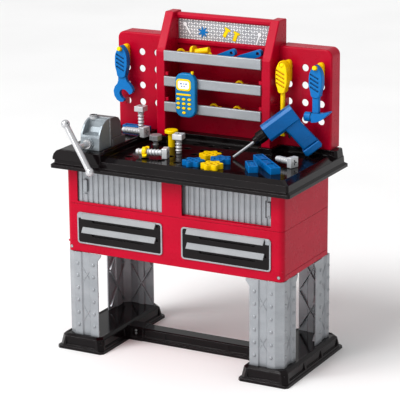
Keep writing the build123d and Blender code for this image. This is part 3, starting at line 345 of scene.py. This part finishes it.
def disc(cx, cz, r, n=28, a=0.0, lobes=0):
    return [(cx + (r + a * math.cos(lobes * 2 * math.pi * k / n)) * math.cos(2 * math.pi * k / n),
             cz + (r + a * math.cos(lobes * 2 * math.pi * k / n)) * math.sin(2 * math.pi * k / n)) for k in range(n)]


def strip(p, q, w):
    """Rounded bar between two points."""
    (x0, z0), (x1, z1) = p, q
    t = math.atan2(z1 - z0, x1 - x0)
    pts = []
    for k in range(9):
        a = t - math.pi / 2 + math.pi * k / 8
        pts.append((x1 + w * math.cos(a), z1 + w * math.sin(a)))
    for k in range(9):
        a = t + math.pi / 2 + math.pi * k / 8
        pts.append((x0 + w * math.cos(a), z0 + w * math.sin(a)))
    return pts


def mm(pts):
    return [(x / 1000, z / 1000) for x, z in pts]


# ------------------------------------------------- printed items on the label
LY = (171.2 + 8) / 1000
def turned_rect(cx, cz, w, h, deg):
    """Rectangle of w by h about a centre, leaning by an angle."""
    c, s_ = math.cos(math.radians(deg)), math.sin(math.radians(deg))
    return [(cx + u * c - v * s_, cz + u * s_ + v * c)
            for u, v in ((-w / 2, -h / 2), (w / 2, -h / 2), (w / 2, h / 2), (-w / 2, h / 2))]


def t_nail(cx, cz, deg, g=0.0, head=19.0, shaft=10.0, length=24.0):
    """Flat headed peg, head at the top of a leaning shaft."""
    c, s_ = math.cos(math.radians(deg)), math.sin(math.radians(deg))
    return [turned_rect(cx, cz, head + g, 6 + g, deg),
            turned_rect(cx + s_ * length / 2, cz - c * length / 2, shaft + g, length + g, deg)]


def t_bolt(cx, cz, deg, g=0.0):
    """Round headed bolt with a slim shaft."""
    c, s_ = math.cos(math.radians(deg)), math.sin(math.radians(deg))
    return [disc(cx, cz, 6.2 + g / 2, 28), turned_rect(cx + s_ * 17, cz - c * 17, 5.4 + g, 30 + g, deg)]


PRINTS = [
    ("print_bolt_left_edge", PRINT_INK, "vise_dark", 0, t_bolt(-127, 880, 33, 2.2)),
    ("print_bolt_left", PRINT_WHITE, "bolt_silver", 1, t_bolt(-127, 880, 33)),
    ("print_gear_edge", PRINT_INK, "vise_dark", 0, [disc(-70, 861, 12.2, 72, 4.6, 7)]),
    ("print_gear_blue", BLUE, "blue", 1, [disc(-70, 861, 11.2, 72, 4.4, 7)]),
    ("print_pegs_edge", PRINT_INK, "vise_dark", 0, t_nail(6, 874, -28, 1.6) + t_nail(34, 866, -20, 1.6)),
    ("print_pegs_yellow", YELLOW, "yellow", 1, t_nail(6, 874, -28) + t_nail(34, 866, -20)),
    ("print_bolt_right_edge", PRINT_INK, "vise_dark", 0, t_bolt(104, 868, -18, 2.2)),
    ("print_bolt_right", PRINT_WHITE, "bolt_silver", 1, t_bolt(104, 868, -18)),
]
for name, material, slot_, layer_, shapes in PRINTS:
    bm = bmesh.new()
    for k, s in enumerate(shapes):
        s = [(x_, max(839.2, z_)) for x_, z_ in s]
        slab(bm, mm(s), LY - 0.00025 - 0.0003 * layer_ - 0.00006 * k, LY + 0.0001)
    new_piece(name, bm, material, "bench", smooth=False)

# ---------------------------------------------------------------- the studio
bpy.ops.mesh.primitive_plane_add(size=60, location=(0, 0, 0))
floor = bpy.context.object
floor.name = "studio_floor"
gf = Graph("floor")
gf.set(Base_Color=gf.mix(gf.remap(gf.noise(1.2, 2.0, 0.5), 0.3, 0.7, 0.0, 1.0), (0.86, 0.86, 0.86), (0.90, 0.90, 0.90)),
       Roughness=0.85)
floor.data.materials.append(gf.m)

world = bpy.data.worlds.new("studio")
bpy.context.scene.world = world
world.use_nodes = True
bg = world.node_tree.nodes["Background"]
bg.inputs[0].default_value = (1.0, 1.0, 1.0, 1.0)
bg.inputs[1].default_value = 0.62


def softbox(name, at, aim, size, energy, colour=(1, 1, 1)):
    d = bpy.data.lights.new(name, "AREA")
    d.shape = "RECTANGLE"
    d.size, d.size_y = size
    d.energy = energy
    d.color = colour
    o = bpy.data.objects.new(name, d)
    bpy.context.scene.collection.objects.link(o)
    o.location = at
    o.rotation_euler = (Vector(aim) - Vector(at)).to_track_quat("-Z", "Y").to_euler()
    return o


softbox("key", (-2.2, -2.4, 2.6), (0, 0, 0.45), (1.6, 1.6), 44)
softbox("front", (-0.6, -3.6, 1.1), (0, 0, 0.45), (1.4, 1.6), 20)
sun = bpy.data.lights.new("soft sun", "SUN")
sun.energy = 1.4
sun.angle = math.radians(25)
sun_o = bpy.data.objects.new("soft sun", sun)
bpy.context.scene.collection.objects.link(sun_o)
sun_o.rotation_euler = (Vector((0, 0, 0)) - Vector((-1.1, -2.2, 3.4))).to_track_quat("-Z", "Y").to_euler()

# ---------------------------------------------------------------- the camera
az, el, roll = math.radians(28.23), math.radians(15.79), math.radians(-0.47)
target = Vector((0.0074, Y, 0.4309))
back = Vector((math.sin(az) * math.cos(el), -math.cos(az) * math.cos(el), math.sin(el)))
right = Vector((math.cos(az), math.sin(az), 0.0))
up = back.cross(right)
r2 = math.cos(roll) * right + math.sin(roll) * up
u2 = -math.sin(roll) * right + math.cos(roll) * up
cam_data = bpy.data.cameras.new("camera")
cam_data.sensor_width = 36.0
cam_data.lens = 1889.3 / 400 * 36.0
cam = bpy.data.objects.new("camera", cam_data)
bpy.context.scene.collection.objects.link(cam)
m = Matrix((r2, u2, back)).transposed().to_4x4()
m.translation = target + back * 5.17
cam.matrix_world = m
bpy.context.scene.camera = cam

bpy.context.scene.view_settings.view_transform = "Standard"
bpy.context.scene.view_settings.gamma = 0.86
bpy.context.scene.view_settings.exposure = 0.12
